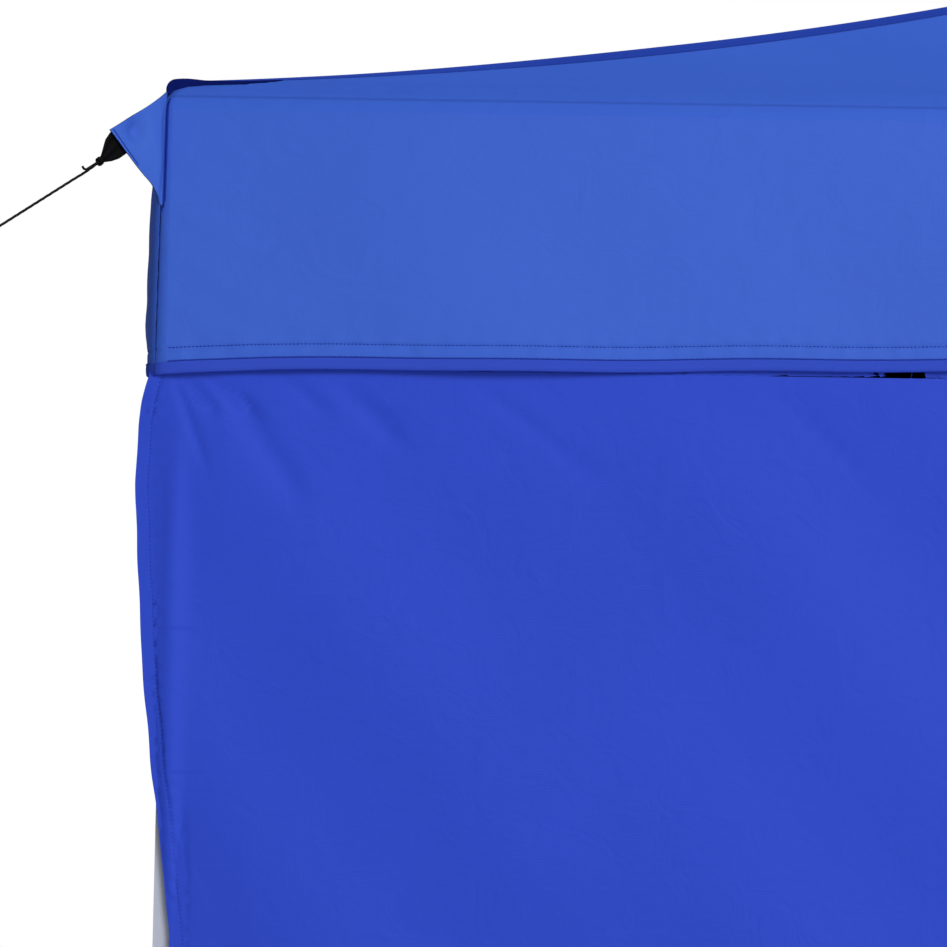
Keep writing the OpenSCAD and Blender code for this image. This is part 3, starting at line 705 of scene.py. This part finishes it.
for corner in range(4):
    name, leg = corner_names[corner], corner_names[corner] + "_leg"
    seam_rise = np.linspace(0.0, 1.0, 70)
    seam_turn = 0.62 + 0.85 * (1 - fade(seam_rise, 0.56, 0.66))
    seam_line = valance_surface(corner, -1 - seam_turn * corner_share, seam_rise)
    over_eave = roof_surface(corner, -1 - 0.62 * corner_share, np.linspace(0.08, 0.26, 3) * eave_share)
    seam = tube_piece(name + "_seam", np.concatenate([seam_line, over_eave]), 0.0012, seam_tape, sides=10)

    points, out = with_normals(flap_surface, corner, np.linspace(0, 1, 33), np.linspace(0.015, 1, 40))
    flap = cloth_piece(name + "_flap", points, out, 0.0018, flap_cloth)
    seam_place = on_diagonal(corner, 0, 0, 0)
    hem_line = flap_surface(corner, 0.966, np.linspace(0.50, 0.985, 50))
    hem_line = hem_line + on_diagonal(corner, 0, 0, 0.0019) - seam_place
    flap_hem = tube_piece(name + "_flap_hem_stitching", hem_line, 0.0005, seam_tape, sides=8)

    points, out = with_normals(webbing_surface, corner, np.linspace(0, 1, 25), np.linspace(-0.12, 1.05, 24))
    loop = cloth_piece(name + "_webbing", points[::-1], -out[::-1], 0.0016, webbing)
    knot_centre = on_diagonal(corner, 0.0895, 1.9500, 0.0)
    pull = on_diagonal(corner, 0.010, -0.008, 0.0) - seam_place
    turns = wound_turns(knot_centre, pull, 0.0032, 0.0018, 3, 72)
    knot = tube_piece(name + "_webbing_knot", turns, 0.0016, webbing, sides=10)
    lead_r = np.array([87.5, 91, 95.5, 99.0]) / 1000
    lead_z = np.array([1951.4, 1948.7, 1945.3, 1942.5]) / 1000
    lead_line = on_diagonal(corner, lead_r, lead_z, 0.0)
    lead = tube_piece(name + "_webbing_lead", lead_line, 0.00145, rope_fibre, sides=12)
    tail_r = np.array([88.5, 96, 103, 108.5, 111.5, 114]) / 1000
    tail_z = np.array([1951.5, 1946.4, 1941.8, 1938.4, 1938.4, 1940.8]) / 1000
    tail_line = on_diagonal(corner, tail_r, tail_z, 0.0012)
    tail = tube_piece(name + "_webbing_tail", tail_line, 0.00135, rope_fibre, sides=12)
    for piece in (seam, flap, flap_hem, loop, knot, lead, tail):
        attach(piece, leg)
    if corner == 0:
        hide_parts("corner_flaps")


def lip_surface(corner, width, along):
    """A slim dark navy crescent of painted shadow on the folded edge of the corner pocket: it starts on the
    upright seam, turns over the eave and lies along the hip. Width runs from its lower edge on this side
    (0) over the hip (1) to the next side (1.3), and the cloth stands proud of the sheet most near the seam."""
    width, along = np.broadcast_arrays(np.asarray(width, float), np.asarray(along, float))
    stops = np.array([0, 0.08, 0.22, 0.45, 0.75, 1.0])
    run_in = np.interp(along, stops, np.array([0, 0.0005, 0.006, 0.024, 0.062, 0.098]))
    hip_rise_here = np.interp(along, [0, 0.3], [0.30, 1.0]) * eave_share + run_in * 0.9 / roof_run
    low_rise = np.interp(along, stops, np.array([0.38, 0.52, 0.65, 0.75, 0.88, 1.0])) * eave_share
    low_rise = np.where(along > 0.75, low_rise + (hip_rise_here - low_rise) * (along - 0.75) * 4, low_rise)
    low_place = -1 - corner_share * (1 - fade(run_in, 0.0, 0.006)) + np.maximum(run_in - 0.006, 0) / 1.5
    low_place = np.where(along > 0.75, low_place + (-1.0 - low_place) * (along - 0.75) * 4, low_place)
    share = np.clip(width, 0, 1)
    rise = low_rise + (hip_rise_here - low_rise) * share
    place = low_place + (-1 - corner_share - low_place) * share
    here = roof_surface(corner, place, rise)
    over = 1 + corner_share * (1 - np.clip((width - 1) / 0.3, 0, 1) * 0.6)
    there = roof_surface((corner + 3) % 4, over, rise)
    points = np.where((width <= 1)[..., None], here, there)
    ends = np.clip(along / 0.16, 0, 1) ** 0.6 * (1 - fade(along, 0.55, 1.0))
    stand = 0.0100 * np.exp(-(along / 0.22) ** 2) + 0.0045 * np.exp(-(along / 0.55) ** 2) + 0.0004
    stand = stand * np.sin(np.pi * np.clip(width, 0, 1.3) / 1.3) * ends
    return points + stand[..., None] * turned(corner, np.array([-0.70, -0.35, 0.62]))


# Painted shadow: the pocket edge is coloured dark navy for the shade beside the raised seam at each corner
pocket_edge_shadow_tape = tape_cloth("pocket_edge_painted_shadow_navy", "#101c66", "#0c1656")
for corner in range(4):
    points, out = with_normals(lip_surface, corner, np.linspace(0, 1.3, 16), np.linspace(0.01, 0.99, 60))
    name = corner_names[corner] + "_corner_lip"
    lip = cloth_piece(name, points[:, ::-1], -out[:, ::-1], 0.0014, pocket_edge_shadow_tape, lift=0.0010)
    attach(lip, "root")
    fold_inwards(lip, roof_surface(corner, -1.05, 0.0))


# ---- Sidewall ----
# One sheet of a deeper royal-blue polyester closes the front side. It is hung inside the valance and
# tied to the legs, so it shows the leg's edge, pulls into slanting folds below the valance, and has
# packing creases. Its upright edges are turned over and stitched. It is in two halves, one on each front
# leg.

wall_cloth = woven_cloth("coated_polyester_royal_blue", "#304bc7", "#2b45bd", gloss=0.08, relief=0.30)
wall_top, wall_foot = 2.019, 0.020
wall_front = 1.5105


def wall_edge(height):
    """Distance of the sidewall's upright edge from the middle at each height: it stands out below the
    valance and draws in behind the leg's outer face lower down."""
    stops = np.array([0.02, 0.30, 0.60, 0.90, 1.12, 1.156, 1.249, 1.320,
                      1.424, 1.53, 1.594, 1.66, 1.696, 1.723, 1.76, 2.04])
    places = np.array([1.488, 1.492, 1.485, 1.489, 1.4825, 1.4860, 1.4980, 1.5085,
                       1.5200, 1.5265, 1.5313, 1.5302, 1.5285, 1.5235, 1.506, 1.5050])
    rough = np.interp(height, stops, places)
    for shift in (-0.02, 0.02):
        rough = rough + np.interp(height + shift, stops, places)
    return rough / 3 + 0.0007 * np.sin(height * 71) * np.sin(height * 13)


def crease_along(x, z, start, end, width, depth):
    """A soft groove along a straight line between two places on the sheet: a bell curve of the distance
    from the line, which fades out towards both ends."""
    start, end = np.array(start), np.array(end)
    run = end - start
    length = np.hypot(*run)
    along = ((x - start[0]) * run[0] + (z - start[1]) * run[1]) / length ** 2
    off = ((x - start[0]) * run[1] - (z - start[1]) * run[0]) / length
    ends = fade(along, -0.15, 0.15) * (1 - fade(along, 0.7, 1.1))
    return -depth * np.exp(-(off / width) ** 2) * ends


# Each crease: start and end as distance from the middle and height, then width and depth, in metres
wall_creases = [
    ((1.520, 1.454), (1.450, 1.456), 0.0030, 0.0012), ((1.515, 1.301), (1.452, 1.302), 0.0028, 0.0013),
    ((1.495, 1.172), (1.452, 1.170), 0.0028, 0.0012), ((1.474, 1.262), (1.470, 0.98), 0.0060, 0.0028),
    ((1.489, 1.738), (1.444, 1.684), 0.0080, 0.0034), ((1.472, 1.742), (1.398, 1.682), 0.0085, 0.0034),
    ((1.430, 1.712), (1.350, 1.590), 0.0150, 0.0036), ((1.392, 1.744), (1.322, 1.688), 0.0095, 0.0024),
    ((1.330, 1.744), (1.240, 1.650), 0.0140, 0.0030),
    ((1.495, 1.735), (1.452, 1.620), 0.0060, 0.0018), ((1.180, 1.735), (1.020, 1.610), 0.0110, 0.0013),
    ((0.860, 1.735), (0.740, 1.620), 0.0110, 0.0012), ((1.456, 0.62), (1.380, 0.50), 0.0080, 0.0030),
    ((1.470, 0.18), (1.300, 0.09), 0.0090, 0.0040), ((0.900, 0.16), (0.700, 0.07), 0.0120, 0.0035),
]


def wall_surface(hand, across, rise):
    """Half of the sidewall: across runs from its upright edge (0) to the middle of the side (1), rise
    from the foot (0) to the top (1), and hand is -1 for the left half and 1 for the right. Its depth is
    a sum of slow slanting waves, a ridge over the leg, a groove along the side hem with puckers, the
    creases, and deeper waves near the free foot."""
    across, rise = np.broadcast_arrays(np.asarray(across, float), np.asarray(rise, float))
    height = wall_foot + (wall_top - wall_foot) * rise
    height = height + 0.004 * np.sin(9 * across) * (1 - fade(rise, 0, 0.05))
    edge = wall_edge(height)
    x = edge * (1 - across)
    to_edge = edge - x
    free = (1 - fade(height, 1.60, 1.80)) * fade(to_edge, 0.0, 0.10)
    slant = x * 0.78 - height * 0.62
    waves = 0.0020 * np.sin(17 * slant + 2.0 * np.sin(2.1 * height))
    waves = waves + 0.0012 * np.sin(31 * slant + 3 * height)
    waves = waves + 0.0016 * np.sin(7.3 * x + 2.6 * height + 0.6)
    skirt = 0.016 * np.sin(5.1 * x + 0.4) + 0.007 * np.sin(12.7 * x)
    skirt = skirt * (1 - fade(height, 0.02, 1.1)) ** 1.5
    ridge = 0.0042 * np.exp(-((x - 1.490) / 0.013) ** 2) * (1 - fade(height, 1.55, 1.74))
    hem = -0.0008 * np.exp(-((to_edge - 0.0145) / 0.0018) ** 2)
    pucker = 0.0006 * np.sin(2 * np.pi * height / 0.019 + 2 * np.sin(23 * height))
    pucker = pucker * np.exp(-((to_edge - 0.012) / 0.008) ** 2)
    roll = -0.006 * np.exp(-to_edge / 0.010) * fade(height, 1.0, 1.2) * (1 - fade(height, 1.66, 1.72))
    depth = (waves + skirt) * free + ridge + hem + pucker + roll
    for start, end, width, deep in wall_creases:
        depth = depth + crease_along(x, height, start, end, width, deep)
    below = 1 - fade(height, 1.69, 1.745)
    deepest = -0.0012 - 0.010 * fade(to_edge, 0.06, 0.2) * below
    y = -wall_front - np.maximum(depth * (0.15 + 0.85 * below), deepest)
    return np.stack([hand * x, y, height], -1)


wall_across = np.concatenate([
    np.linspace(0, 0.030, 12, endpoint=False), np.linspace(0.030, 0.30, 84, endpoint=False),
    np.linspace(0.30, 1, 66),
])
# Known fault: the last run starts at 0.86, below the end of the one before it, so the sheet doubles
# back on itself there
wall_rise = np.concatenate([
    np.linspace(0, 0.52, 70, endpoint=False), np.linspace(0.52, 0.87, 160, endpoint=False),
    np.linspace(0.86, 1, 12),
])
for hand, leg in ((-1, "front_left_leg"), (1, "front_right_leg")):
    name = "sidewall_" + ("left" if hand < 0 else "right")
    points, out = with_normals(wall_surface, hand, wall_across, wall_rise)
    half = cloth_piece(name, points[:, ::-hand], -hand * out[:, ::-hand], cloth_thick, wall_cloth)
    points, out = with_normals(wall_surface, hand, np.linspace(-0.0003, 0.0098, 7), wall_rise)
    hem = cloth_piece(name + "_side_hem", points[:, ::-hand], -hand * out[:, ::-hand], 0.0011, wall_cloth,
                      lift=0.0011)
    heights = (np.arange(0.03, 2.02, 0.0045) - wall_foot) / (wall_top - wall_foot)
    ends = np.stack([heights - 0.00075, heights, heights + 0.00075], -1)
    line = wall_surface(hand, 0.0088, ends) + np.array([0, -0.0014, 0])
    thread_points, thread_faces = spindles(line, np.array([1.0, 0, 0]), np.array([0, -1.0, 0]), 0.0004)
    thread = mesh_piece(name + "_stitching", thread_points, thread_faces, stitch_thread)
    for piece in (half, hem, thread):
        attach(piece, leg)
        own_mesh(piece)
    if hand < 0:
        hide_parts("sidewall")


# ---- Frame ----
# Square steel leg tubes and rectangular bars, powder coated pale grey, with moulded black nylon
# joints, sliders and collars, and zinc-plated pins and buttons.

def coated_metal(name, main, shade, roughness):
    """Powder coat on steel: an even satin paint with a faint orange-peel texture."""
    coat, out = new_material(name)
    place = add_node(coat, "ShaderNodeTexCoord").outputs["Object"]
    peel = add_node(coat, "ShaderNodeTexNoise", {"Vector": place, "Scale": 700.0, "Detail": 2.0})
    slow = add_node(coat, "ShaderNodeTexNoise", {"Vector": place, "Scale": 5.0, "Detail": 3.0})
    tone = add_node(coat, "ShaderNodeMix", {
        "Factor": slow.outputs["Fac"], 6: linear(shade), 7: linear(main),
    }, data_type="RGBA")
    bump = add_node(coat, "ShaderNodeBump", {
        "Strength": 0.25, "Distance": 0.0002, "Height": peel.outputs["Fac"],
    })
    shader = add_node(coat, "ShaderNodeBsdfPrincipled", {
        "Base Color": tone.outputs[2], "Roughness": roughness, "Normal": bump.outputs[0], "IOR": 1.5,
    })
    coat.node_tree.links.new(shader.outputs[0], out.inputs["Surface"])
    return coat, place, tone, bump, shader, out


powder_coat = coated_metal("pale_grey_powder_coat", "#b9bdcc", "#b2b7c7", 0.42)[0]


# Injection-moulded nylon: near-black, with the fine even grain of a spark-eroded mould
nylon_black = fine_grained(
    "black_moulded_nylon", "ShaderNodeTexNoise", {"Scale": 1100.0, "Detail": 3.0},
    ("#17171a", "#202023"), 0.35, 0.0002, {"Roughness": 0.5, "IOR": 1.53})


def coat_with_nylon(name, low_bands):
    """Powder coat with moulded nylon over the given bands of height, for a tube whose nylon fittings are
    one part with it: each band is one compare on the height, and the bands are joined by their maximum."""
    coat, place, tone, bump, shader, out = coated_metal(name, "#b9bdcc", "#b2b7c7", 0.42)
    height = add_node(coat, "ShaderNodeSeparateXYZ", {"Vector": place}).outputs["Z"]
    inside = None
    for low, high in low_bands:
        band = add_node(coat, "ShaderNodeMath", {
            0: height, 1: (low + high) / 2, 2: (high - low) / 2 + 0.0002,
        }, operation="COMPARE").outputs[0]
        inside = band if inside is None else add_node(coat, "ShaderNodeMath", {
            0: inside, 1: band}, operation="MAXIMUM").outputs[0]
    colour = add_node(coat, "ShaderNodeMix", {
        "Factor": inside, 6: tone.outputs[2], 7: linear("#1c1c1f"),
    }, data_type="RGBA")
    coat.node_tree.links.new(colour.outputs[2], shader.inputs["Base Color"])
    return coat


leg_finish = coat_with_nylon("powder_coat_with_nylon_cap_and_collar", [(1.970, 2.031), (0.450, 0.505)])
inner_finish = coat_with_nylon("powder_coat_with_nylon_guide", [(1.0235, 1.055)])

zinc, zinc_out = new_material("bright_zinc_plate")
zinc_place = add_node(zinc, "ShaderNodeTexCoord").outputs["Object"]
zinc_cloud = add_node(zinc, "ShaderNodeTexNoise", {"Vector": zinc_place, "Scale": 120.0, "Detail": 4.0})
zinc_tone = add_node(zinc, "ShaderNodeMix", {
    "Factor": zinc_cloud.outputs["Fac"], 6: linear("#a6a8ac"), 7: linear("#c3c5c9"),
}, data_type="RGBA")
zinc_rough = add_node(zinc, "ShaderNodeMapRange", {
    "Value": zinc_cloud.outputs["Fac"], "To Min": 0.25, "To Max": 0.45,
})
zinc_shader = add_node(zinc, "ShaderNodeBsdfPrincipled", {
    "Base Color": zinc_tone.outputs[2], "Metallic": 1.0, "Roughness": zinc_rough.outputs[0],
})
zinc.node_tree.links.new(zinc_shader.outputs[0], zinc_out.inputs["Surface"])

for name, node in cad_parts.items():
    if name.endswith("inner_leg"):
        finish = inner_finish
    elif name.endswith("_leg"):
        finish = leg_finish
    elif name.endswith(("_button", "_pin")):
        finish = zinc
    elif "_bar" in name or name == "peak_mast":
        finish = powder_coat
    elif name.endswith(("_joint", "_hub", "_slider", "_cap")):
        finish = nylon_black
    else:
        continue
    node.data.materials.clear()
    node.data.materials.append(finish)
    node.data.polygons.foreach_set("material_index", np.zeros(len(node.data.polygons), np.int32))
